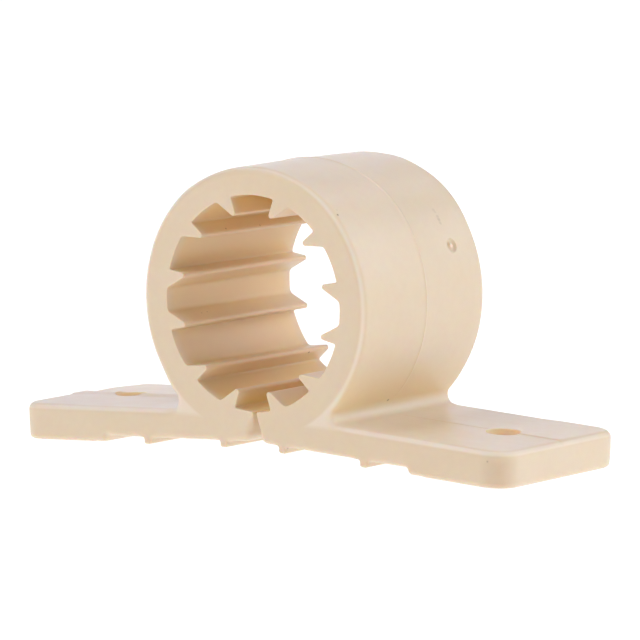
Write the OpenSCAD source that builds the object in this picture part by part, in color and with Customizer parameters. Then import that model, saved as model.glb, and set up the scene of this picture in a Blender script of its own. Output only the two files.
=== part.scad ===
// Two-hole pipe clamp: a split ring with gripping teeth on two drooping feet,
// moulded in one piece. The tube runs along Y, the feet reach out along X,
// and the origin is on the plane that the outer ends of the feet stand on,
// straight below the middle of the ring. Millimetres and degrees.

/* [Ring] */
// Diameter of the tube that the tooth tips touch
tube_d = 22.2; // [21.8:0.1:22.8]
// Outside diameter of the ring
ring_od = 34.8; // [34:0.1:36]
// Diameter at the bottom of the grooves between the teeth
groove_d = 26.9; // [26.4:0.1:27.6]
// Length of the ring and the feet along the tube
clamp_l = 25.4; // [20:0.2:32]
// Rounding of the ring's outer rims and of the feet's upper edges
rim_r = 1; // [0.4:0.1:1.2]

/* [Teeth] */
// Width of a tooth where it leaves the groove bottom
tooth_w = 2.35; // [2:0.05:2.6]
// Radius of the blunt tooth tip
tip_r = 0.35; // [0.25:0.05:0.45]
// Fillet where a tooth's sloped flank meets the groove bottom
root_r = 0.7; // [0.3:0.1:0.9]
// Lean of the steep flank away from the radius
flank_lean = 6; // [2:0.5:8]

/* [Feet] */
// Overall length over the two feet
span = 75.8; // [74:0.2:90]
// Thickness of a foot between its ribs
foot_t = 3.6; // [3.2:0.1:4.4]
// Height of the ribs and the end pads under a foot
rib_h = 0.85; // [0.4:0.05:1.2]
// Width of a rib at its lower edge
rib_w = 1.05; // [0.8:0.05:1.6]
// Distance of the inner rib from the middle of the clamp
rib_in = 4.65; // [4.4:0.05:6]
// Distance of the outer rib from the middle of the clamp
rib_out = 16.85; // [15:0.05:19]
// Where an end pad begins, from the middle of the clamp
pad_in = 24.4; // [23.8:0.1:25.6]
// Corner radius of a foot seen from above
corner_r = 4; // [2:0.1:5]
// Droop of the feet, which fastening them down takes up
droop = 3; // [2:0.1:4]
// Fillet between the ring and the top of a foot
neck_r = 1.1; // [0.6:0.1:1.6]

/* [Holes] */
// Distance between the centres of the two fastening holes
hole_spacing = 58.8; // [58:0.1:62]
// Diameter of a fastening hole
hole_d = 4.3; // [3.6:0.1:4.8]

/* [Split] */
// Width of the split at the bottom of the ring
split_top = 0.8; // [0.5:0.1:1.2]
// Width of the split where it opens under the clamp
split_bottom = 2.7; // [2:0.1:3.2]
// Rounding of the feet's inner lower corners
split_r = 0.8; // [0.4:0.1:1]

/* [Hidden] */
$fn = 96;
ro = ring_od/2;
rg = groove_d/2;
rt = tube_d/2;
hl = clamp_l/2;
// Tooth tips on one side, in degrees from the top of the ring
tooth_at = [15, 45.7, 76, 107.2, 138.6, 167.3];
// Fillet at the root of a steep flank
steep_r = 0.25;
// Rounding of the feet's lower edges
low_r = 0.7;
// Top of a foot, underside and rib bottoms below the ring's axis, in the
// foot's own frame, which the droop tilts about that axis
top_h = ro - 3.92;
under_h = top_h + foot_t;
pad_h = under_h + rib_h;
// Outer end of a foot along its own frame
end_s = (span/2 + top_h*sin(droop))/cos(droop);
// Height of the ring's axis above the plane that the foot ends stand on
axis_h = (end_s - low_r)*sin(droop) + (pad_h - low_r)*cos(droop) + low_r;
// Centre of the fillet between ring and foot, in the foot's frame
neck_z = neck_r - top_h;
neck_x = sqrt((ro + neck_r)*(ro + neck_r) - neck_z*neck_z);
cream = [0.88, 0.79, 0.67];

// ---- Outline of the toothed hollow, as points that follow its rules ----
// A tooth's own frame: the origin is where the steep flank meets the groove
// circle, u runs along the ring towards the sloped flank, v runs inward.
tooth_h = rg - rt;
cv = tooth_h - tip_r;
ct = (cv - tip_r*sin(flank_lean))/cos(flank_lean);
cu = tip_r*cos(flank_lean) - ct*sin(flank_lean);
vw = rg - sqrt(rg*rg - tooth_w*tooth_w);
slope_d = sqrt((tooth_w - cu)*(tooth_w - cu) + (cv - vw)*(cv - vw));
slope_g = atan2(cv - vw, tooth_w - cu) + asin(tip_r/slope_d);
// Angle between a tooth's steep root and its tip, seen from the axis
tip_da = atan2(cu, rt);

// Fillet of radius r between a flank through a, with outward normal n and
// direction e, and the groove circle: centre, point on flank, point on circle
function fil_t(p, e, r) =
    let (pe = p[0]*e[0] + p[1]*e[1], c = p[0]*p[0] + p[1]*p[1] - (rg - r)*(rg - r))
    -pe - sqrt(pe*pe - c);
function fil(a, n, e, r) =
    let (p = [a[0] + r*n[0], a[1] + r*n[1] - rg],
         t = fil_t(p, e, r),
         f = [a[0] + r*n[0] + t*e[0], a[1] + r*n[1] + t*e[1]],
         k = rg/(rg - r))
    [f, a + t*e, [f[0]*k, (f[1] - rg)*k + rg]];
// Points on an arc about c from p to q, the short way round
function arc(c, p, q, n) =
    let (a = atan2(p[1] - c[1], p[0] - c[0]), b0 = atan2(q[1] - c[1], q[0] - c[0]),
         d0 = b0 - a, d = d0 > 180 ? d0 - 360 : (d0 < -180 ? d0 + 360 : d0),
         r = norm(p - c))
    [for (i = [0:n]) [c[0] + r*cos(a + d*i/n), c[1] + r*sin(a + d*i/n)]];
steep_e = [-sin(flank_lean), cos(flank_lean)];
steep_n = [-cos(flank_lean), -sin(flank_lean)];
slope_e = [-cos(slope_g), sin(slope_g)];
slope_n = [sin(slope_g), cos(slope_g)];
f_steep = fil([0, 0], steep_n, steep_e, steep_r);
f_slope = fil([tooth_w, vw], slope_n, slope_e, root_r);
// One tooth from its steep root round the tip to its sloped root
tooth = concat(
    arc(f_steep[0], f_steep[2], f_steep[1], 4),
    arc([cu, cv], ct*steep_e, [cu, cv] + tip_r*slope_n, 10),
    arc(f_slope[0], f_slope[1], f_slope[2], 6));
function rev(l) = [for (i = [len(l) - 1:-1:0]) l[i]];
// A tooth's points in the section, X to the right and Z up, with its tip at
// angle a clockwise from the top; s = -1 turns the steep flank down
function place(q, a, s) =
    let (b = a - s*tip_da, x = s*q[0], y = rg - q[1])
    [x*cos(b) + y*sin(b), y*cos(b) - x*sin(b)];
function tooth_at_a(a, s) =
    let (l = [for (q = tooth) place(q, a, s)]) s > 0 ? l : rev(l);
function ang(p) = atan2(p[0], p[1]);
// Groove bottom between two angles, without its end points
function groove(a, b) =
    let (n = max(2, ceil((b - a)/2.5)))
    [for (i = [1:n - 1]) [rg*sin(a + (b - a)*i/n), rg*cos(a + (b - a)*i/n)]];
teeth = [for (i = [0:5]) tooth_at_a(tooth_at[i], i < 3 ? 1 : -1)];
side = concat(
    [[0, rg]],
    [for (i = [0:5]) for (q = concat(
        groove(i == 0 ? 0 : ang(teeth[i - 1][len(teeth[i - 1]) - 1]), ang(teeth[i][0])),
        teeth[i])) q],
    groove(ang(teeth[5][len(teeth[5]) - 1]), 180),
    [[0, -rg]]);
hollow_pts = concat(side, [for (i = [len(side) - 2:-1:1]) [-side[i][0], side[i][1]]]);

// ---- Helpers ----
// A section in X and Z becomes a solid of length l, centred on Y = 0
module along_y(l) { rotate([90, 0, 0]) translate([0, 0, -l/2]) linear_extrude(height = l) children(); }
// Both halves
module both() { for (m = [0, 1]) mirror([m, 0, 0]) children(); }
// A foot's own frame tilts about the ring's axis
module tilted() { rotate([0, droop, 0]) children(); }

// ---- Foot: a plate with rounded edges, two ribs and an end pad ----
// Half the section of the plate's edge: x from 0 to w, full height, rounded
// at the top and bottom outer corners
module edge_profile(w) {
    translate([0, -pad_h]) difference() {
        square([w, pad_h - top_h]);
        translate([w - rim_r, pad_h - top_h - rim_r]) difference() {
            square([rim_r + 1, rim_r + 1]);
            circle(r = rim_r);
        }
        translate([w - low_r, low_r]) difference() {
            translate([0, -low_r - 1]) square([low_r + 1, low_r + 1]);
            circle(r = low_r);
        }
    }
}

module foot_plate() {
    // main length, with rounded front and back edges
    rotate([90, 0, 90]) linear_extrude(height = end_s - corner_r) {
        edge_profile(hl);
        mirror([1, 0]) edge_profile(hl);
    }
    // outer end between the corners
    translate([end_s - corner_r - 1, 0, 0]) along_y(clamp_l - 2*corner_r) edge_profile(corner_r + 1);
    // corners
    for (s = [-1, 1]) translate([end_s - corner_r, s*(hl - corner_r), 0])
        rotate_extrude() edge_profile(corner_r);
}

// Space under the plate, between the ribs and the pad
module foot_relief() {
    a = 0.14;
    along_y(clamp_l + 4) difference() {
        translate([-1, -pad_h - 2]) square([pad_in + 1, pad_h + 2 - under_h]);
        for (x = [rib_in, rib_out]) polygon([
            [x - rib_w/2, -pad_h], [x + rib_w/2, -pad_h],
            [x + rib_w/2 + a, -under_h + 0.01], [x - rib_w/2 - a, -under_h + 0.01]
        ]);
        polygon([
            [pad_in + 0.5, -pad_h], [pad_in + 1, -pad_h],
            [pad_in + 1, -under_h + 0.01], [pad_in - 0.1, -under_h + 0.01]
        ]);
    }
    // the pad and the ribs end at their lower edge
    translate([-1, -hl - 2, -pad_h - 2]) cube([pad_in + 2, clamp_l + 4, 2]);
}

module foot() {
    tilted() difference() {
        foot_plate();
        foot_relief();
    }
}

// ---- Ring: a barrel with rounded rims, above the feet ----
module ring() {
    intersection() {
        rotate([90, 0, 0]) rotate_extrude($fn = 144) difference() {
            translate([0, -hl]) square([ro, clamp_l]);
            for (s = [-1, 1]) translate([ro - rim_r, s*(hl - rim_r)]) difference() {
                translate([0, s > 0 ? 0 : -rim_r - 1]) square([rim_r + 1, rim_r + 1]);
                circle(r = rim_r);
            }
        }
        translate([-ro - 1, -hl - 1, -top_h - 0.6]) cube([2*ro + 2, clamp_l + 2, 2*ro]);
    }
}

// Web that joins the ring to a foot, and the hollow fillet at the neck
module neck() {
    k = ro/(ro + neck_r);
    // the fillet's arc from the ring to the foot, sunk a little into both
    tilted() along_y(clamp_l - rim_r) polygon(concat(
        [[neck_x - 0.3, -top_h - 0.8], [neck_x*k*0.9, -top_h - 0.8], [neck_x*k*0.9, neck_z*k*0.9]],
        [for (p = arc([neck_x, neck_z], [neck_x*k, neck_z*k], [neck_x, -top_h], 12))
            [neck_x + (p[0] - neck_x)*1.02, neck_z + (p[1] - neck_z)*1.02]]));
    // the web's flush front and back faces, inside the rims' rounding
    tilted() along_y(clamp_l) polygon([
        [0, -rg + 2], [(ro - rim_r)*sin(140), (ro - rim_r)*cos(140)],
        [neck_x - neck_r - rim_r + 0.1, neck_z],
        [neck_x - neck_r*0.7, -top_h - rim_r + 0.05], [neck_x, -top_h - rim_r],
        [neck_x, -top_h - rim_r - 0.6], [0, -top_h - rim_r - 0.6]
    ]);
}

// ---- Split under the ring, narrow above and open below ----
module split() {
    z0 = -rg;
    z1 = -under_h;
    w0 = split_top/2;
    w1 = split_bottom/2;
    along_y(clamp_l + 2) {
        polygon([[-w0, z0 + 1], [w0, z0 + 1], [w0, z0], [w1, z1], [w1, z1 - 2],
                 [-w1, z1 - 2], [-w1, z1], [-w0, z0]]);
        // rounded lower corners
        for (m = [0, 1]) mirror([m, 0]) difference() {
            translate([w1 - 0.3, z1 - 1]) square([split_r + 0.3, split_r + 1 - 0.02]);
            translate([w1 + split_r - 0.06, z1 + split_r - 0.07]) circle(r = split_r);
        }
    }
}

module clamp() {
    color(cream) translate([0, 0, axis_h]) difference() {
        union() {
            ring();
            both() foot();
            both() neck();
        }
        along_y(clamp_l + 2) polygon(hollow_pts);
        split();
        // fastening holes
        for (s = [-1, 1]) translate([s*hole_spacing/2, 0, -pad_h - 6])
            cylinder(d = hole_d, h = 14);
    }
}

clamp();
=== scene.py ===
import math

import bpy
import numpy as np
from mathutils import Matrix, Vector
from mathutils.geometry import delaunay_2d_cdt


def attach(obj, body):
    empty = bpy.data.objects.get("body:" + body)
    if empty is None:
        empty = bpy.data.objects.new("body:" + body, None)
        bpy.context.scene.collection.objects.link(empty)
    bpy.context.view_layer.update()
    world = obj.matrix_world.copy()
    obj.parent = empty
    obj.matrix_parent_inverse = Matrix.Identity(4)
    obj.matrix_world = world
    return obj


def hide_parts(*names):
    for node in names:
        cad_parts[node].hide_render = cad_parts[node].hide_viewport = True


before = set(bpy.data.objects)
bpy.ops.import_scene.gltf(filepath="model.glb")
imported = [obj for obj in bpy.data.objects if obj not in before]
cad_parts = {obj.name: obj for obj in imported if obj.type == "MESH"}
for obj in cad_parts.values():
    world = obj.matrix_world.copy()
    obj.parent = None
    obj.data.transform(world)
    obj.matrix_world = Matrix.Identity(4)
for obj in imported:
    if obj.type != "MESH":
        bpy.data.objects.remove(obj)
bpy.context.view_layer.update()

MM = 0.001

# ---------------------------------------------------------------- sizes, mm
# The section is drawn round the ring's axis: x to the right, z up.
AXIS_Z = 19.993          # ring axis above the plane that the feet stand on
HL = 12.7                # half the length along the tube
RO, RG, RT = 17.4, 13.45, 11.1
DROOP = math.radians(3.0)
TOP_H, UNDER_H, PAD_H = -13.43, -17.21, -18.03
END_S = 38.630           # outer end of a foot along its own frame
CORNER_R = 3.6           # largest plan corner; each corner has its own below
RIM_R, LOW_R = 0.95, 0.7
NECK_R = 1.1
RIB_W, RIB_IN, RIB_OUT, PAD_IN = 1.05, 5.5, 17.7, 24.4
HOLE_X, HOLE_Y, HOLE_R = 29.15, -0.35, 2.15
TEETH = [15.0, 45.7, 76.0, 107.2, 138.6, 167.3]
CD, SD = math.cos(DROOP), math.sin(DROOP)


def smooth(a, b, x):
    t = np.clip((x - a) / (b - a), 0.0, 1.0)
    return t * t * (3 - 2 * t)


# ------------------------------------------------- section outline, one loop
def corner(p0, p1, p2, r, n):
    """Points of a fillet of radius r at corner p1."""
    p0, p1, p2 = (np.array(p, float) for p in (p0, p1, p2))
    a, b = p0 - p1, p2 - p1
    a, b = a / np.linalg.norm(a), b / np.linalg.norm(b)
    half = math.acos(max(-1.0, min(1.0, float(a @ b)))) / 2
    if r < 1e-6 or abs(half - math.pi / 2) < 1e-4:
        return [p1]
    t = r / math.tan(half)
    c = p1 + (a + b) / np.linalg.norm(a + b) * (r / math.sin(half))
    q0, q1 = p1 + a * t, p1 + b * t
    a0 = math.atan2(*(q0 - c)[::-1])
    a1 = math.atan2(*(q1 - c)[::-1])
    d = (a1 - a0 + math.pi) % (2 * math.pi) - math.pi
    return [c + r * np.array([math.cos(a0 + d * k / n), math.sin(a0 + d * k / n)]) for k in range(n + 1)]


def filleted(pts, radii, n=5):
    out = []
    for k, p in enumerate(pts):
        if k in (0, len(pts) - 1):
            out.append(np.array(p, float))
        else:
            out += corner(pts[k - 1], p, pts[k + 1], radii[k], n)
    return out


def split_up(pts, step):
    """Adds points so that no edge is longer than step."""
    out = [pts[0]]
    for p, q in zip(pts[:-1], pts[1:]):
        p, q = np.array(p, float), np.array(q, float)
        n = max(1, math.ceil(float(np.linalg.norm(q - p)) / step))
        out += [p + (q - p) * k / n for k in range(1, n + 1)]
    return out


# One tooth: u along the ring from the steep root, v inward from the groove
TOOTH_W, TIP_R, ROOT_R, STEEP_R, LEAN = 2.35, 0.35, 0.75, 0.22, math.radians(6)


def tooth_points():
    h = RG - RT
    cv = h - TIP_R
    ct = (cv - TIP_R * math.sin(LEAN)) / math.cos(LEAN)
    cu = TIP_R * math.cos(LEAN) - ct * math.sin(LEAN)
    vw = RG - math.sqrt(RG * RG - TOOTH_W * TOOTH_W)
    d = math.hypot(TOOTH_W - cu, cv - vw)
    g = math.atan2(cv - vw, TOOTH_W - cu) + math.asin(TIP_R / d)
    steep_e, steep_n = np.array([-math.sin(LEAN), math.cos(LEAN)]), np.array([-math.cos(LEAN), -math.sin(LEAN)])
    slope_e, slope_n = np.array([-math.cos(g), math.sin(g)]), np.array([math.sin(g), math.cos(g)])
    o = np.array([0.0, RG])

    def root(a, n, e, r):
        p = a + r * n - o
        pe = float(p @ e)
        t = -pe - math.sqrt(pe * pe - float(p @ p) + (RG - r) ** 2)
        f = p + t * e
        return f + o, a + t * e, f * (RG / (RG - r)) + o

    def arc(c, p, q, n):
        a0, a1 = math.atan2(p[1] - c[1], p[0] - c[0]), math.atan2(q[1] - c[1], q[0] - c[0])
        dd = (a1 - a0 + math.pi) % (2 * math.pi) - math.pi
        r = math.hypot(p[0] - c[0], p[1] - c[1])
        return [np.array([c[0] + r * math.cos(a0 + dd * k / n), c[1] + r * math.sin(a0 + dd * k / n)]) for k in range(n + 1)]

    s, w = root(np.array([0.0, 0.0]), steep_n, steep_e, STEEP_R), root(np.array([TOOTH_W, vw]), slope_n, slope_e, ROOT_R)
    c = np.array([cu, cv])
    pts = arc(s[0], s[2], s[1], 4)
    tip = arc(c, ct * steep_e, c + TIP_R * slope_n, 9)
    pts = split_up(pts + [tip[0]], 0.45)[:-1] + tip
    pts = split_up(pts[:-1] + [tip[-1], w[1]], 0.45)[:-1] + arc(w[0], w[1], w[2], 6)
    return pts, math.atan2(cu, RT)


TOOTH, TIP_DA = tooth_points()


def ring_angle(p):
    return math.atan2(p[0], p[1])


def hollow_side():
    """Inner outline of the right half, from the top down to the bottom."""
    rows = []
    for k, a in enumerate(TEETH):
        s = 1 if k < 3 else -1
        b = math.radians(a) - s * TIP_DA
        row = []
        for q in TOOTH:
            x, y = s * q[0], RG - q[1]
            row.append(np.array([x * math.cos(b) + y * math.sin(b), y * math.cos(b) - x * math.sin(b)]))
        rows.append(row if s > 0 else row[::-1])
    out = [np.array([0.0, RG])]
    prev = 0.0
    for row in rows + [None]:
        nxt = ring_angle(row[0]) if row else math.pi
        n = max(2, math.ceil((nxt - prev) * RG / 0.55))
        out += [RG * np.array([math.sin(prev + (nxt - prev) * k / n), math.cos(prev + (nxt - prev) * k / n)]) for k in range(1, n)]
        if row:
            out += row
            prev = ring_angle(row[-1])
    out.append(np.array([0.0, -RG]))
    return out


def outer_radius(a, sgn=1):
    """The ring is a little flat on top: a is the angle from the top."""
    return 17.45 - 0.29 * smooth(0.74, 1.0, math.cos(a)) - 0.06 * smooth(1.8, 2.2, a) + (0.09 * smooth(0.5, 1.2, a) if sgn < 0 else 0.0)


# Split faces: the split is a little off the middle
SPLIT_C = 0.33
SPLIT_TOP_W, SPLIT_LOW_W = 0.18, 0.62


def half_outline(sgn):
    """Vertices of one half from the top of the ring round the foot to the top of the hollow.
    Each is (x, z, kind, s, h, rim radius), with x on the right side; sgn mirrors it for the left half."""
    rows = []

    def tilt(s, h):
        return np.array([s * CD + h * SD, -s * SD + h * CD])

    def add(p, kind, r, s=0.0, h=0.0):
        if p is None:
            p = tilt(s, h)
        rows.append((float(p[0]), float(p[1]), kind, s, h, r))

    # ring, from the top to the neck fillet
    nz = NECK_R + TOP_H
    ro = outer_radius(2.4, sgn)
    nx = math.sqrt((ro + NECK_R) ** 2 - nz * nz)
    a_end = math.atan2(nx, nz) + DROOP
    n = math.ceil(a_end * ro / 0.6)
    for k in range(n + 1):
        a = a_end * k / n
        r = outer_radius(a, sgn)
        add((r * math.sin(a), r * math.cos(a)), "n", RIM_R)
    # neck fillet
    k0 = ro / (ro + NECK_R)
    a0, a1 = math.atan2(nz * k0 - nz, nx * k0 - nx), -math.pi / 2
    d = (a1 - a0 + math.pi) % (2 * math.pi) - math.pi
    for k in range(1, 11):
        a = a0 + d * k / 10
        add(tilt(nx + NECK_R * math.cos(a), nz + NECK_R * math.sin(a)), "n", RIM_R)
    # foot top to the start of its outer end's rounding
    s_end = END_S
    for s in list(np.linspace(nx, s_end - CORNER_R, 34)[1:]) + list(np.linspace(s_end - CORNER_R, s_end - RIM_R, 9)[1:]):
        add(tilt(s, TOP_H), "t", RIM_R, s, TOP_H)
    for k in range(1, 8):
        f = math.pi / 2 * k / 8
        add(None, "t", RIM_R, s_end - 0.03 - (RIM_R - 0.03) * (1 - math.sin(f)), TOP_H)
    # end face
    for h in np.linspace(TOP_H - RIM_R, PAD_H + LOW_R, 7):
        bow = 0.02 * ((h - TOP_H + RIM_R) / (TOP_H - RIM_R - PAD_H - LOW_R) * 2 + 1) ** 2
        add(None, "e", 0.0, s_end - bow, float(h))
    # end pad's underside
    for k in range(1, 8):
        f = math.pi / 2 * (8 - k) / 8
        add(None, "b", LOW_R, s_end - 0.03 - (LOW_R - 0.03) * (1 - math.sin(f)), PAD_H)
    low = [(s_end - LOW_R, PAD_H), (PAD_IN + 0.35, PAD_H), (PAD_IN - 0.1, UNDER_H)]
    rad = [0, 0.8, 0.5]
    rib = [0.4, 0.36, 0.36, 0.4]
    for x in (RIB_OUT + (0.25 if sgn > 0 else 0.0), RIB_IN):
        low += [(x + RIB_W / 2 + 0.14, UNDER_H), (x + RIB_W / 2, PAD_H), (x - RIB_W / 2, PAD_H), (x - RIB_W / 2 - 0.14, UNDER_H)]
        rad += rib
    # the split's lower corner and its face, given in the upright section
    c = SPLIT_C * sgn
    up = [(c + SPLIT_LOW_W + 0.12, -15.9), (c + SPLIT_TOP_W, -RG + 0.0)]

    def untilt(p):
        return (p[0] * CD - p[1] * SD, p[0] * SD + p[1] * CD)

    foot_corner = (untilt((c + SPLIT_LOW_W + 0.12 + 0.12, -17.0))[0], UNDER_H)
    low.append(foot_corner)
    rad.append(1.0)
    face = [untilt(p) for p in up]
    low += face
    rad += [1.5, 0.0]
    pts = filleted(low, rad, 6)
    pts = split_up(pts, 0.6)
    for p in pts[:-1]:
        s, h = float(p[0]), float(p[1])
        # rim rounding: full under the plate, less at the ribs, least up the split
        if h > UNDER_H + 0.9:
            r = float(0.7 + (0.22 - 0.7) * smooth(-16.6, -14.0, h)) if sgn > 0 else 0.9
        else:
            near = min(abs(s - RIB_OUT), abs(s - RIB_IN))
            r = float(0.42 + (LOW_R - 0.42) * smooth(0.7, 1.8, near))
            if h < UNDER_H - 0.1 and s < PAD_IN - 1:
                r = float(0.42 - 0.2 * smooth(0, 0.7, UNDER_H - h))
        kind = "b" if s > PAD_IN + 2.0 else "n"
        x, z = tilt(s, h)
        add((x, z), kind, r, s, h)
    # inner outline, from the bottom up to the top
    inner = hollow_side()[::-1]
    wall = c + SPLIT_TOP_W
    inner = [p for p in inner if p[0] > wall + 0.34 or p[1] > 0]
    # lip between the split's face and the hollow
    lip = [tilt(*pts[-2]), np.array([wall, -math.sqrt(RG * RG - wall * wall)]), inner[0]]
    for p in corner(lip[0], lip[1], lip[2], 0.3, 5):
        add(p, "n", 0.16)
    for p in inner:
        add(p, "n", 0.12)
    return rows


def outline():
    right, left = half_outline(1), half_outline(-1)
    rows = [(1,) + r for r in right]
    rows += [(-1,) + r for r in left[::-1]]
    # the two tops of the ring and of the hollow meet
    out = []
    for r in rows:
        p = (r[0] * r[1], r[2])
        if out and abs(p[0] - out[-1][0] * out[-1][1]) < 1e-6 and abs(p[1] - out[-1][2]) < 1e-6:
            continue
        out.append(r)
    p, q = out[0], out[-1]
    if abs(p[0] * p[1] - q[0] * q[1]) < 1e-6 and abs(p[2] - q[2]) < 1e-6:
        out.pop()
    return out


# ---------------------------------------------------------- the solid's rings
ROUND = 8                                   # steps over a rim's rounding
PHI = [math.pi / 2 * j / ROUND for j in range(ROUND + 1)]
INNER_Y = [-11.4, -10.9, -10.4, -9.9, -9.4, -8.9, -8.2, -7.4, -6.5, -5.6, -4.7, -3.9, -3.2, -2.6, -2.1, -1.65, -1.3,
           -1.0, -0.78, -0.6, -0.46, -0.35, -0.26, -0.18, -0.11, -0.05, 0.0, 0.05, 0.11, 0.18, 0.26, 0.35, 0.46, 0.6,
           0.78, 1.0, 1.3, 1.65, 2.1, 2.6, 3.2, 3.9, 4.7, 5.6, 6.5, 7.4, 8.2, 8.9, 9.4, 9.9, 10.4, 10.9, 11.4]


def barrel_gain(y):
    """How the outside stands off its nominal line along the length: draft towards the
    front, and the fine ridge where the two halves of the mould met."""
    front = -0.021 * np.clip(-y - 0.3, 0, None)
    back = -0.004 * np.clip(y, 0, None)
    ridge = 0.095 * np.exp(-((y + 0.02) / 0.17) ** 2)
    step = -0.03 * smooth(-0.05, 0.1, y)
    return front + back + ridge + step


def foot_top_gain(sgn, s, y):
    """Height of a foot's top over its nominal plane: a step where the mould parted,
    and the draft of the back half."""
    if sgn > 0:
        shown = 0.35 + 0.65 * smooth(HOLE_X - 2, HOLE_X + 2, s)
        rise = 0.13 * shown * smooth(-0.16, 0.06, y)
        fall = -0.09 * smooth(0.2, 5.0, y) - 0.008 * np.clip(y - 3, 0, None)
    else:
        # a raised band before the hole, lower behind it; it starts nearer the front at the foot's end
        w, tip = smooth(27.0, 35.0, s), smooth(33.0, 38.0, s)
        lead = 0.13 * w
        band = (0.29 - lead) * smooth(-0.3, 0.3, y + 1.5 + 1.4 * tip)
        inner = -0.24 * smooth(-0.5, 1.8, y) - 0.22 * smooth(1.5, 6.0, y)
        outer = -0.29 * smooth(-0.5, 1.4, y) + 0.05 * smooth(2.0, 4.6, y) - 0.22 * smooth(5.0, 12.0, y)
        rise, fall = lead + band, inner * (1 - w) + outer * w
    front = -0.004 * np.clip(-y, 0, None)
    return rise + fall + front


def in_loop(loop, pts):
    """Which of these points lie inside a closed loop of points."""
    inside = np.zeros(len(pts), bool)
    for i in range(len(loop)):
        a, b = loop[i], loop[(i + 1) % len(loop)]
        if a[1] != b[1]:
            cross = (a[1] > pts[:, 1]) != (b[1] > pts[:, 1])
            inside ^= cross & (pts[:, 0] < (b[0] - a[0]) * (pts[:, 1] - a[1]) / (b[1] - a[1]) + a[0])
    return inside


def round_corners(v):
    """Rounds the feet's corners seen from above: square offsets from the edges become arcs."""
    side = np.sign(v[:, 0])
    cr = np.where(v[:, 1] < 0, np.where(side < 0, 3.0, CORNER_R), np.where(side < 0, 1.3, 3.35))
    ss, hh = side * v[:, 0] * CD - v[:, 2] * SD, side * v[:, 0] * SD + v[:, 2] * CD
    u, w = ss - (END_S - cr), np.abs(v[:, 1]) - (HL - cr)
    c = (u > 0) & (w > 0)
    m = np.maximum(u, w)
    th = np.where(u >= w, math.pi / 4 * w / np.maximum(u, 1e-9), math.pi / 2 - math.pi / 4 * u / np.maximum(w, 1e-9))
    s2 = END_S - cr + m * np.cos(th)
    y2 = np.sign(v[:, 1]) * (HL - cr + m * np.sin(th))
    v[c, 0] = (side * (s2 * CD + hh * SD))[c]
    v[c, 1] = y2[c]
    v[c, 2] = (-s2 * SD + hh * CD)[c]
    return v


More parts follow.
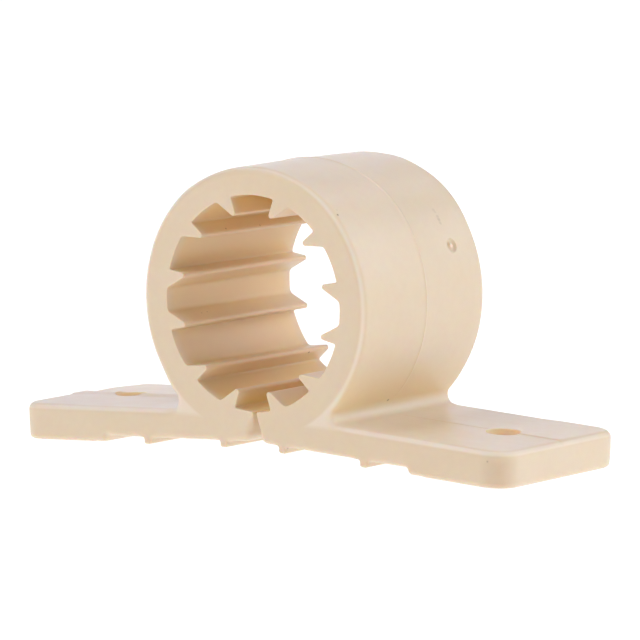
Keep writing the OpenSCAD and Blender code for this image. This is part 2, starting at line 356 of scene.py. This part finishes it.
def build_mesh():
    rows = outline()
    n = len(rows)
    sgn = np.array([r[0] for r in rows], float)
    px = np.array([r[0] * r[1] for r in rows])
    pz = np.array([r[2] for r in rows])
    kind = np.array([r[3] for r in rows])
    s, h = np.array([r[4] for r in rows]), np.array([r[5] for r in rows])
    rr = np.array([r[6] for r in rows])
    foot = kind != "n"
    p = np.c_[px, pz]
    e = np.roll(p, -1, 0) - p
    e /= np.linalg.norm(e, axis=1)[:, None] + 1e-12
    ne = np.c_[-e[:, 1], e[:, 0]]
    pe = np.roll(ne, 1, 0)
    m = (ne + pe) / (1 + np.sum(ne * pe, 1))[:, None]
    # the rim's radius stays under the outline's own on a convex corner, and never jumps
    seg = np.linalg.norm(np.roll(p, -1, 0) - p, axis=1)
    turn = -(pe[:, 0] * ne[:, 1] - pe[:, 1] * ne[:, 0])
    convex = np.where(turn > 1e-4, 0.8 * (seg + np.roll(seg, 1)) / 2 / np.maximum(turn, 1e-4), 9.0)
    rs = np.where(kind == "n", np.minimum(rr, convex), rr)
    for _ in range(3):
        for i in range(n):
            if kind[i] == "n":
                rs[i] = min(rs[i], rs[i - 1] + 0.5 * seg[i - 1])
        for i in range(n)[::-1]:
            if kind[i] == "n":
                rs[i] = min(rs[i], rs[(i + 1) % n] + 0.5 * seg[i])
    rs = np.where(kind == "t", RIM_R, rs)
    ring_a = np.arctan2(px, pz)
    outer = np.hypot(px, pz) > 15.5
    on_barrel = (kind == "n") & outer & (np.abs(ring_a) < math.radians(136))
    fade = 1 - smooth(math.radians(120), math.radians(134), np.abs(ring_a))

    def station(yv, inset, front):
        """All the loop's vertices at one ring. yv: y of each, inset: how far each is in."""
        q = p - m * inset[:, None]
        # barrel: draft and ridge, along the radius
        g = np.where(on_barrel, barrel_gain(yv) * fade, 0.0)
        # the back rim stands up a little at the upper right
        g += np.where(on_barrel, 0.2 * smooth(0.08, 0.32, ring_a) * (1 - smooth(0.8, 1.15, ring_a)) * smooth(5.0, 11.5, yv), 0.0)
        q += g[:, None] * np.c_[np.sin(ring_a), np.cos(ring_a)]
        x, z = q[:, 0].copy(), q[:, 1].copy()
        for side in (-1.0, 1.0):
            f = foot & (sgn == side)
            ss, hh, yy = s[f], h[f], yv[f]
            kk = kind[f]
            dist = np.minimum(END_S - ss, HL - np.abs(yy))
            top = kk == "t"
            low = kk == "b"

            def drop(r):
                d = np.clip(dist, 0, r)
                return r - np.sqrt(np.clip(r * r - (r - d) ** 2, 0, None))

            lift = foot_top_gain(side, ss, yy)
            end_lift = np.where(kk == "e", lift * np.clip((hh - (PAD_H + LOW_R)) / (TOP_H - RIM_R - PAD_H - LOW_R), 0, 1), 0)
            h2 = hh + np.where(top, lift - drop(RIM_R), 0) + np.where(low & (hh < UNDER_H - 0.5), drop(LOW_R), 0) + end_lift
            x[f] = side * (ss * CD + h2 * SD)
            z[f] = -ss * SD + h2 * CD
        return np.c_[x, yv, z]

    rings = []
    rv = np.where(kind == "e", 1.0, np.maximum(rs, 0.05))
    rim = np.where(kind == "t", RIM_R, np.where((kind == "b"), LOW_R, rs))
    # end face rows blend the two radii in depth
    ei = np.where(kind == "e", 1, 0)
    depth_r = rim.copy()
    for side in (-1.0, 1.0):
        f = (kind == "e") & (sgn == side)
        depth_r[f] = LOW_R + (RIM_R - LOW_R) * (h[f] - h[f].min()) / (h[f].max() - h[f].min())
    inset_r = np.where(foot & (kind != "b"), 0.0, depth_r)
    # under the end pad the rounding comes from the height, elsewhere from the inset
    pad = (kind == "b") & (h < UNDER_H - 0.5)
    inset_r = np.where(pad, 0.0, inset_r)
    # one flat ring just inside the front face, then the rounding, the length, and the back
    for front in (True, False):
        part = []
        for j, f in enumerate(PHI):
            dd = depth_r * (1 - math.cos(f))
            part.append(station(-HL + dd, inset_r * (1 - math.sin(f)), True))
        if front:
            rings += part
            for yy in INNER_Y:
                rings.append(station(np.full(n, yy), np.zeros(n), False))
        else:
            back = []
            for j, f in enumerate(PHI):
                dd = depth_r * (1 - math.cos(f))
                back.append(station(HL - dd, inset_r * (1 - math.sin(f)), False))
            rings += back[::-1]
    rings = np.array(rings)                      # ring, vertex, xyz
    k = len(rings)
    verts = [tuple(v) for ring in rings for v in ring]
    faces = []
    for j in range(k - 1):
        a, b = j * n, (j + 1) * n
        for i in range(n):
            i2 = (i + 1) % n
            faces.append((a + i, a + i2, b + i2, b + i))

    # caps: a fine triangulation, so that the face can be a little uneven
    def cap(ring, offset, y0, flip, bulge):
        loop = rings[ring]
        flat = [Vector((v[0], v[2])) for v in loop]
        # flat support ring just inside
        q = np.array([[v[0], v[2]] for v in loop])
        e1 = np.roll(q, -1, 0) - q
        e1 /= np.linalg.norm(e1, axis=1)[:, None] + 1e-12
        n1 = np.c_[-e1[:, 1], e1[:, 0]]
        n0 = np.roll(n1, 1, 0)
        mm = (n0 + n1) / np.maximum(1 + np.sum(n0 * n1, 1), 0.4)[:, None]
        inn = q - mm * 0.01
        base = len(verts)
        for i in range(n):
            verts.append((inn[i, 0], y0, inn[i, 1]))
        for i in range(n):
            i2 = (i + 1) % n
            f = (offset + i, base + i, base + i2, offset + i2)
            faces.append(f if flip else f[::-1])
        # interior points
        xs, zs = np.arange(-39, 39.01, 0.9), np.arange(-20, 18.01, 0.9)
        gx, gz = np.meshgrid(xs, zs)
        gx[::2] += 0.45
        pts = np.c_[gx.ravel(), gz.ravel()]
        # closer together at the feet's rounded corners
        pts = pts[np.abs(pts[:, 0]) * CD - pts[:, 1] * SD < END_S - CORNER_R - 0.3]
        cs, ch = np.meshgrid(np.linspace(END_S - CORNER_R, END_S, 11)[:-1], np.linspace(PAD_H + LOW_R, TOP_H - RIM_R, 4)[1:-1])
        for side in (-1, 1):
            pts = np.r_[pts, np.c_[side * (cs.ravel() * CD + ch.ravel() * SD), -cs.ravel() * SD + ch.ravel() * CD]]
        far = np.ones(len(pts), bool)
        for i in range(0, n):
            far &= np.hypot(pts[:, 0] - inn[i, 0], pts[:, 1] - inn[i, 1]) > 0.35
        pts = pts[in_loop(inn, pts) & far]
        coords = [Vector(v) for v in inn] + [Vector(v) for v in pts]
        edges = [(i, (i + 1) % n) for i in range(n)]
        vo, eo, fo, ov, oe, of_ = delaunay_2d_cdt(coords, edges, [], 0, 1e-7, True)
        keep = in_loop(inn, np.array([[sum(vo[i][c] for i in f) / len(f) for c in (0, 1)] for f in fo]))
        index = {}
        for i, src in enumerate(ov):
            if src and min(src) < n:
                index[i] = base + min(src)
            else:
                index[i] = len(verts)
                verts.append((vo[i][0], y0 + bulge(vo[i][0], vo[i][1]), vo[i][1]))
        for f, ok in zip(fo, keep):
            t = [index[i] for i in f]
            if not ok or len(set(t)) < 3:
                continue
            a, b, c = (np.array(verts[i]) for i in t[:3])
            ny = np.cross(b - a, c - a)[1]
            if (ny > 0) != flip:
                t = t[::-1]
            faces.append(tuple(t))

    cap(0, 0, -HL, False, lambda x, z: 0.0)
    cap(k - 1, (k - 1) * n, HL, True, lambda x, z: 0.0)
    v = round_corners(np.array(verts))
    v[:, 2] += AXIS_Z
    me = bpy.data.meshes.new("clamp_body")
    me.from_pydata([tuple(q * MM) for q in v], [], faces)
    me.validate()
    return me


def lathe_mesh(name, profile, n):
    """Closed mesh from a profile of (radius, z) points, turned about Z."""
    verts, faces = [], []
    for r, z in profile:
        for k in range(n):
            a = 2 * math.pi * k / n
            verts.append((r * math.cos(a) * MM, r * math.sin(a) * MM, z * MM))
    m = len(profile)
    for j in range(m - 1):
        for k in range(n):
            k2 = (k + 1) % n
            faces.append((j * n + k, j * n + k2, (j + 1) * n + k2, (j + 1) * n + k))
    faces.append(tuple(range(n))[::-1])
    faces.append(tuple((m - 1) * n + k for k in range(n)))
    me = bpy.data.meshes.new(name)
    me.from_pydata(verts, [], faces)
    me.validate()
    return me


def hole_cutter(name, sgn):
    """The hole's outline: straight, with a small rounding at the foot's top and bottom."""
    r, e = HOLE_R, 0.15
    top = AXIS_Z + (-HOLE_X * SD + (TOP_H + 0.07) * CD) + 0.0
    bottom = AXIS_Z + (-HOLE_X * SD + PAD_H * CD)
    prof = [(r + e + 1.0, bottom - 1.0), (r + e, bottom - 0.0)]
    prof = [(r + 0.5, bottom - 0.9)] + [(r + e * (1 - math.sin(t)), bottom + e * (1 - math.cos(t))) for t in np.linspace(0.15, math.pi / 2, 6)]
    prof += [(r, bottom + 1.5), (r, top - 1.2)]
    prof += [(r + e * (1 - math.sin(t)), top - e * (1 - math.cos(t))) for t in np.linspace(math.pi / 2, 0.15, 6)]
    prof += [(r + 0.6, top + 0.9)]
    me = lathe_mesh(name, prof, 96)
    # the roundings follow the foot's tilt
    co = np.zeros(len(me.vertices) * 3)
    me.vertices.foreach_get("co", co)
    co = co.reshape(-1, 3)
    co[:, 2] += -sgn * co[:, 0] * math.tan(DROOP)
    co[:, 0] += sgn * HOLE_X * MM
    co[:, 1] += HOLE_Y * MM
    me.vertices.foreach_set("co", co.ravel())
    return bpy.data.objects.new(name, me)


def gate_cutter(name):
    """A shallow round dimple with a nub in it, where the plastic was let in."""
    a, y, R = math.radians(68.0), 7.1, 17.37
    prof = [(0.02, 0.015), (0.18, 0.0), (0.28, -0.05), (0.35, -0.15), (0.42, -0.24), (0.52, -0.29), (0.64, -0.28), (0.76, -0.22),
            (0.86, -0.12), (0.94, -0.04), (1.02, 0.03), (1.15, 0.09), (1.15, 0.6), (0.02, 0.6)]
    me = lathe_mesh(name, prof, 48)
    ob = bpy.data.objects.new(name, me)
    nrm = Vector((math.sin(a), 0, math.cos(a)))
    rot = nrm.to_track_quat("Z", "Y").to_matrix().to_4x4()
    loc = Matrix.Translation(Vector((R * math.sin(a), y, R * math.cos(a) + AXIS_Z)) * MM)
    me.transform(loc @ rot)
    return ob


def cut(obj, cutters):
    col = bpy.context.scene.collection
    for c in cutters:
        col.objects.link(c)
        mod = obj.modifiers.new("cut", "BOOLEAN")
        mod.operation = "DIFFERENCE"
        mod.solver = "EXACT"
        mod.object = c
    bpy.context.view_layer.update()
    dg = bpy.context.evaluated_depsgraph_get()
    me = bpy.data.meshes.new_from_object(obj.evaluated_get(dg))
    obj.modifiers.clear()
    obj.data = me
    for c in cutters:
        bpy.data.objects.remove(c)


body = bpy.data.objects.new("clamp_body", build_mesh())
bpy.context.scene.collection.objects.link(body)
cut(body, [hole_cutter("hole_right", 1), hole_cutter("hole_left", -1), gate_cutter("gate_mark")])
body.data.shade_smooth()
body.data.set_sharp_from_angle(angle=math.radians(35))


# ------------------------------------------------------------------ material
CREAM_A, CREAM_B, CREAM_DARK = (0.785, 0.645, 0.490), (0.772, 0.626, 0.464), (0.70, 0.54, 0.37)
# painted shade inside the ring's hollow
CREAM_HOLLOW_SHADE = (0.820, 0.620, 0.380)
# painted shade low at the neck, painted light in the holes, and painted highlights on the rims, the neck fillet and
# the gate's nub, then the strengths of the neck shade and of the rim highlights
CREAM_NECK_SHADE, CREAM_HOLE_LIT, CREAM_HIGHLIGHT = (0.83, 0.63, 0.36), (0.88, 0.71, 0.50), (0.90, 0.80, 0.705)
NECK_SHADE, RIM_HIGHLIGHT, FOOT_HIGHLIGHT = 0.8, 0.9, 0.5
ROUGH = 0.34

GATE = (16.12, 7.14, 26.49)

# Specks in the plastic, mm: place, radius, strength
SPECKS = [
    ((12.64, -11.85, 31.65), 0.16, 0.8), ((12.17, -11.37, 32.17), 0.10, 0.3), ((12.30, -1.11, 7.69), 0.22, 0.65),
    ((-8.11, -7.46, 28.38), 0.16, 0.55), ((-7.95, -0.68, 28.25), 0.15, 0.5), ((-12.00, -7.54, 17.51), 0.12, 0.55),
    ((-12.04, -6.33, 17.53), 0.12, 0.5), ((-7.32, 8.58, 11.16), 0.17, 0.8), ((35.33, -12.52, 3.40), 0.14, 0.35),
    ((5.30, -12.45, 2.36), 0.16, 0.35), ((13.66, 6.69, 30.80), 0.30, 0.12), ((13.85, 6.75, 30.55), 0.24, 0.12),
    ((14.24, 6.74, 30.01), 0.30, 0.16), ((14.48, 6.68, 29.65), 0.32, 0.22), ((14.74, 6.64, 29.24), 0.28, 0.18),
]


def plastic():
    mat = bpy.data.materials.new("cream_plastic")
    mat.use_nodes = True
    nt = mat.node_tree
    nt.nodes.clear()
    N, L = nt.nodes.new, nt.links.new
    out = N("ShaderNodeOutputMaterial")
    bsdf = N("ShaderNodeBsdfPrincipled")
    L(bsdf.outputs["BSDF"], out.inputs["Surface"])
    co = N("ShaderNodeTexCoord").outputs["Object"]

    def noise(scale, detail, rough=0.5):
        n = N("ShaderNodeTexNoise")
        n.inputs["Scale"].default_value = scale
        n.inputs["Detail"].default_value = detail
        n.inputs["Roughness"].default_value = rough
        L(co, n.inputs["Vector"])
        return n.outputs["Fac"]

    def remap(value, a, b, c, d):
        n = N("ShaderNodeMapRange")
        n.inputs["From Min"].default_value, n.inputs["From Max"].default_value = a, b
        n.inputs["To Min"].default_value, n.inputs["To Max"].default_value = c, d
        L(value, n.inputs["Value"])
        return n.outputs["Result"]

    def math_node(op, a, b):
        n = N("ShaderNodeMath")
        n.operation = op
        for k, v in enumerate((a, b)):
            if isinstance(v, (int, float)):
                n.inputs[k].default_value = v
            else:
                L(v, n.inputs[k])
        return n.outputs[0]

    def mix(fac, a, b):
        n = N("ShaderNodeMix")
        n.data_type = "RGBA"
        L(fac, n.inputs["Factor"])
        for k, v in ((6, a), (7, b)):
            if isinstance(v, tuple):
                n.inputs[k].default_value = v + (1.0,)
            else:
                L(v, n.inputs[k])
        return n.outputs[2]

    # slow drift between two creams, then a fine mottle
    base = mix(remap(noise(95.0, 2.0), 0.35, 0.65, 0, 1), CREAM_A, CREAM_B)
    base = mix(remap(noise(950.0, 3.0, 0.6), 0.35, 0.75, 0, 0.16), base, CREAM_DARK)

    # painted shade inside the ring: a deeper, warmer tone on the hollow's walls
    axis = N("ShaderNodeVectorMath")
    axis.operation = "MULTIPLY_ADD"
    L(co, axis.inputs[0])
    axis.inputs[1].default_value = (1.0, 0.0, 1.0)
    axis.inputs[2].default_value = (0.0, 0.0, -AXIS_Z * MM)
    reach = N("ShaderNodeVectorMath")
    reach.operation = "LENGTH"
    L(axis.outputs["Vector"], reach.inputs[0])
    along = N("ShaderNodeSeparateXYZ")
    L(co, along.inputs["Vector"])
    hollow_shade = math_node("MULTIPLY", math_node("MULTIPLY", remap(reach.outputs["Value"], 0.0141, 0.0136, 0.0, 1.0),
                     remap(reach.outputs["Value"], 0.0112, 0.0132, 0.35, 1.0)),
                     remap(math_node("ABSOLUTE", along.outputs["Y"], 0.0), 0.0126, 0.0110, 0.0, 1.0))
    base = mix(hollow_shade, base, CREAM_HOLLOW_SHADE)

    def both(a, b):
        return math_node("MULTIPLY", a, b)

    # the deepest painted shade at the roof and in the bottom grooves
    base = mix(both(hollow_shade, remap(along.outputs["Z"], 0.0093, 0.0076, 0.0, 0.55)), base, (0.94, 0.705, 0.32))
    base = mix(both(hollow_shade, remap(along.outputs["Z"], 0.0285, 0.0315, 0.0, 0.75)), base, (0.83, 0.58, 0.28))

    # painted shade: a darker, warmer tone low on the ring's outside, towards the neck; below it a painted highlight
    # along the neck fillet and painted light inside the two holes
    level, width = along.outputs["Z"], math_node("ABSOLUTE", along.outputs["Y"], 0.0)
    outside = remap(reach.outputs["Value"], 0.0150, 0.0160, 0.0, 1.0)
    neck_shade = both(both(remap(level, 0.0130, 0.0080, 0.0, NECK_SHADE), remap(level, 0.0064, 0.0078, 0.0, 1.0)),
                both(outside, remap(width, 0.0126, 0.0118, 0.0, 1.0)))
    base = mix(neck_shade, base, CREAM_NECK_SHADE)
    across = math_node("ABSOLUTE", along.outputs["X"], 0.0)
    # painted highlight: a paler band along the neck fillet
    fillet = both(both(remap(across, 0.0190, 0.0160, 0.0, 0.36), remap(level, 0.0072, 0.0064, 0.0, 1.0)), both(outside,
                  both(remap(width, 0.0126, 0.0118, 0.0, 1.0), remap(level, 0.0048, 0.0054, 0.0, 1.0))))
    base = mix(fillet, base, CREAM_HIGHLIGHT)
    # painted light: the walls of the two holes paler and warmer
    from_hole = math_node("POWER", math_node("ADD",
                          math_node("POWER", math_node("SUBTRACT", across, HOLE_X * MM), 2.0),
                          math_node("POWER", math_node("SUBTRACT", along.outputs["Y"], HOLE_Y * MM), 2.0)), 0.5)
    base = mix(remap(from_hole, 0.00224, 0.00216, 0.0, 1.0), base, CREAM_HOLE_LIT)

    # painted highlights on the rims: round the ring, then round the feet's tops
    ring_rim_highlight = both(both(remap(reach.outputs["Value"], 0.01655, 0.01690, 0.0, 1.0), remap(width, 0.01215, 0.01250, 0.0, 1.0)),
                    both(remap(level, 0.0060, 0.0160, 0.6 * RIM_HIGHLIGHT, RIM_HIGHLIGHT),
                         math_node("MAXIMUM", remap(level, 0.0062, 0.0070, 0.0, 1.0),
                                   both(remap(level, 0.0051, 0.0057, 0.0, 1.0), remap(across, 0.0152, 0.0136, 0.0, 1.0)))))
    out_s = math_node("SUBTRACT", math_node("MULTIPLY", across, CD), math_node("MULTIPLY", math_node("SUBTRACT", level, AXIS_Z * MM), SD))
    out_h = math_node("ADD", math_node("MULTIPLY", across, SD), math_node("MULTIPLY", math_node("SUBTRACT", level, AXIS_Z * MM), CD))
    edge_u = math_node("MAXIMUM", math_node("SUBTRACT", out_s, (END_S - 3.4) * MM), 0.0)
    edge_w = math_node("MAXIMUM", math_node("SUBTRACT", width, (HL - 3.4) * MM), 0.0)
    edge = math_node("POWER", math_node("ADD", math_node("POWER", edge_u, 2.0), math_node("POWER", edge_w, 2.0)), 0.5)
    foot_rim_highlight = both(both(remap(edge, 0.00262, 0.00292, 0.0, FOOT_HIGHLIGHT), remap(out_s, 0.0135, 0.0152, 0.0, 1.0)),
                    both(remap(out_h, (TOP_H - 0.72) * MM, (TOP_H - 0.5) * MM, 0.0, 1.0),
                         remap(out_h, (TOP_H - 0.06) * MM, (TOP_H - 0.2) * MM, 0.0, 1.0)))
    base = mix(math_node("MAXIMUM", ring_rim_highlight, foot_rim_highlight), base, CREAM_HIGHLIGHT)

    # painted shade at the right foot's front corner: a darker, warmer patch in place of a dark reflection there
    turn = N("ShaderNodeVectorMath")
    turn.operation = "MULTIPLY"
    L(co, turn.inputs[0])
    turn.inputs[1].default_value = (1.0, 1.0, 0.35)
    corner_shade = N("ShaderNodeVectorMath")
    corner_shade.operation = "DISTANCE"
    L(turn.outputs["Vector"], corner_shade.inputs[0])
    corner_shade.inputs[1].default_value = (36.8 * MM, -12.2 * MM, 0.5 * MM)
    base = mix(both(remap(corner_shade.outputs["Value"], 0.0028, 0.0006, 0.0, 0.5), remap(out_h, (TOP_H - 0.5) * MM, (TOP_H - 1.6) * MM, 0.0, 1.0)),
               base, (0.67, 0.48, 0.33))

    # the gate mark: a painted highlight on its nub and painted shade in the groove round it
    gate = N("ShaderNodeVectorMath")
    gate.operation = "DISTANCE"
    L(co, gate.inputs[0])
    gate.inputs[1].default_value = tuple(c * MM for c in GATE)
    gate_groove_shade = both(remap(gate.outputs["Value"], 0.00085, 0.00060, 0.0, 0.22), remap(gate.outputs["Value"], 0.00022, 0.00036, 0.0, 1.0))
    base = mix(gate_groove_shade, base, (0.62, 0.46, 0.29))
    base = mix(remap(gate.outputs["Value"], 0.00034, 0.00018, 0.0, 0.7), base, CREAM_HIGHLIGHT)

    # specks of burnt plastic: the ones that the photo shows, and a few more, very small
    mask = None
    for place, radius, strength in SPECKS:
        d = N("ShaderNodeVectorMath")
        d.operation = "DISTANCE"
        L(co, d.inputs[0])
        d.inputs[1].default_value = tuple(c * MM for c in place)
        m = remap(d.outputs["Value"], radius * 0.45 * MM, radius * 1.15 * MM, strength, 0.0)
        mask = m if mask is None else math_node("MAXIMUM", mask, m)
    v = N("ShaderNodeTexVoronoi")
    v.inputs["Scale"].default_value = 140.0
    L(co, v.inputs["Vector"])
    cell = N("ShaderNodeSeparateColor")
    L(v.outputs["Color"], cell.inputs["Color"])
    dot = math_node("MULTIPLY", remap(v.outputs["Distance"], 0.008, 0.016, 0.3, 0.0),
                    math_node("LESS_THAN", cell.outputs["Red"], 0.2))
    mask = math_node("MAXIMUM", mask, dot)
    L(mix(mask, base, (0.20, 0.115, 0.05)), bsdf.inputs["Base Color"])

    L(remap(noise(420.0, 3.0), 0.3, 0.7, ROUGH - 0.04, ROUGH + 0.04), bsdf.inputs["Roughness"])

    # grain of the mould's surface on top of slow unevenness
    slow = N("ShaderNodeBump")
    slow.inputs["Strength"].default_value = 1.0
    slow.inputs["Distance"].default_value = 0.00004
    L(noise(170.0, 1.0), slow.inputs["Height"])
    fine = N("ShaderNodeBump")
    fine.inputs["Strength"].default_value = 1.0
    fine.inputs["Distance"].default_value = 0.000005
    L(noise(2400.0, 2.0, 0.6), fine.inputs["Height"])
    L(slow.outputs["Normal"], fine.inputs["Normal"])
    L(fine.outputs["Normal"], bsdf.inputs["Normal"])

    bsdf.inputs["IOR"].default_value = 1.5
    bsdf.inputs["Subsurface Weight"].default_value = 0.7
    bsdf.inputs["Subsurface Radius"].default_value = (1.0, 0.5, 0.2)
    bsdf.inputs["Subsurface Scale"].default_value = 0.0007
    return mat


mat = plastic()
body.data.materials.clear()
body.data.materials.append(mat)
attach(body, "root")
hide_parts("clamp")

# --------------------------------------------------------- floor, light, lens
def backdrop():
    me = bpy.data.meshes.new("floor")
    me.from_pydata([(-3, -3, 0), (3, -3, 0), (3, 3, 0), (-3, 3, 0)], [], [(0, 1, 2, 3)])
    ob = bpy.data.objects.new("floor", me)
    bpy.context.scene.collection.objects.link(ob)
    m = bpy.data.materials.new("floor_white")
    m.use_nodes = True
    b = m.node_tree.nodes["Principled BSDF"]
    b.inputs["Base Color"].default_value = (0.1, 0.1, 0.1, 1)
    b.inputs["Roughness"].default_value = 0.9
    b.inputs["Emission Color"].default_value = (1, 1, 1, 1)
    b.inputs["Emission Strength"].default_value = 1.0
    me.materials.append(m)


backdrop()


def area(name, az, el, dist, size, power, colour=(1, 1, 1)):
    """A soft light that faces the clamp. Azimuth 0 is in front, 90 at the right."""
    data = bpy.data.lights.new(name, "AREA")
    data.shape = "DISK"
    data.size = size
    data.energy = power
    data.color = colour
    ob = bpy.data.objects.new(name, data)
    a, e = math.radians(az), math.radians(el)
    d = Vector((math.sin(a) * math.cos(e), -math.cos(a) * math.cos(e), math.sin(e)))
    ob.location = Vector((0, 0, 0.018)) + d * dist
    ob.rotation_mode = "QUATERNION"
    ob.rotation_quaternion = d.to_track_quat("Z", "Y")
    bpy.context.scene.collection.objects.link(ob)
    return ob


area("soft_camera", 37, 12, 1.0, 0.25, 0.70, (1.0, 1.0, 0.96))
area("soft_front", -25, 25, 1.0, 0.5, 1.50, (1.08, 1.0, 0.74))
area("soft_high", 35, 60, 1.0, 0.5, 1.02, (1.06, 1.0, 0.92))
area("soft_left", -60, 60, 1.0, 0.8, 4.60, (0.92, 1.0, 1.20))
area("soft_right", 95, 25, 1.0, 0.5, 1.48, (0.94, 1.04, 0.96))
area("soft_back_right", 130, 30, 1.0, 0.9, 4.45, (0.96, 0.99, 1.08))
area("soft_back", 180, 55, 1.0, 0.6, 1.55, (1.0, 0.97, 1.12))
area("soft_back_low", 217, 20, 1.0, 0.6, 0.78, (0.92, 0.92, 1.08))
area("soft_back_left", -120, 30, 1.0, 0.6, 0.76, (0.84, 1.0, 1.25))


def studio(horizon, sweep):
    """World light: a plain bright horizon all round, and a white sweep behind the clamp."""
    world = bpy.data.worlds.new("studio")
    world.use_nodes = True
    nt = world.node_tree
    N, L = nt.nodes.new, nt.links.new
    direction = N("ShaderNodeTexCoord").outputs["Generated"]

    def ramp(value, a, b, c, d):
        n = N("ShaderNodeMapRange")
        n.interpolation_type = "SMOOTHSTEP"
        for name, v in (("From Min", a), ("From Max", b), ("To Min", c), ("To Max", d)):
            n.inputs[name].default_value = v
        L(value, n.inputs["Value"])
        return n

    xyz = N("ShaderNodeSeparateXYZ")
    L(direction, xyz.inputs["Vector"])
    low = ramp(xyz.outputs["Z"], 0.07, 0.17, horizon, 0.0)
    wide = ramp(xyz.outputs["Z"], 0.16, 0.42, sweep, 0.0)
    behind = N("ShaderNodeVectorMath")
    behind.operation = "DOT_PRODUCT"
    L(direction, behind.inputs[0])
    behind.inputs[1].default_value = (-math.sin(0.646), math.cos(0.646), 0.0)
    side = ramp(behind.outputs["Value"], 0.1, 0.75, 0.0, 1.0)
    both = N("ShaderNodeMath")
    both.operation = "MULTIPLY_ADD"
    for k, n in enumerate((wide, side, low)):
        L(n.outputs["Result"], both.inputs[k])
    L(both.outputs[0], nt.nodes["Background"].inputs["Strength"])
    nt.nodes["Background"].inputs["Color"].default_value = (1, 1, 1, 1)
    bpy.context.scene.world = world
    return low, wide


sky = studio(1.0, 0.0)
bpy.context.scene.view_settings.view_transform = "Standard"


def camera():
    a, e, roll = 0.646, 0.121, -0.0036
    tx, ty, d, f = -0.771, -3.266, 606.067, 4834.495
    ca, sa, ce, se = math.cos(a), math.sin(a), math.cos(e), math.sin(e)
    right, back = Vector((ca, sa, 0)), Vector((sa * ce, -ca * ce, se))
    up = back.cross(right)
    cr, sr = math.cos(roll), math.sin(roll)
    r2, u2 = cr * right + sr * up, -sr * right + cr * up
    rot = Matrix((r2, u2, back)).transposed()          # columns are the camera's axes
    r = Matrix((r2, -u2, -back))
    centre = -(r.transposed() @ Vector((tx, ty, d)))
    data = bpy.data.cameras.new("camera")
    data.sensor_fit = "HORIZONTAL"
    data.sensor_width = 36.0
    data.lens = f * 36.0 / 640.0
    data.clip_start, data.clip_end = 0.02, 20.0
    ob = bpy.data.objects.new("camera", data)
    ob.matrix_world = Matrix.Translation(centre * MM + Vector((0, 0, AXIS_Z * MM))) @ rot.to_4x4()
    bpy.context.scene.collection.objects.link(ob)
    bpy.context.scene.camera = ob


camera()
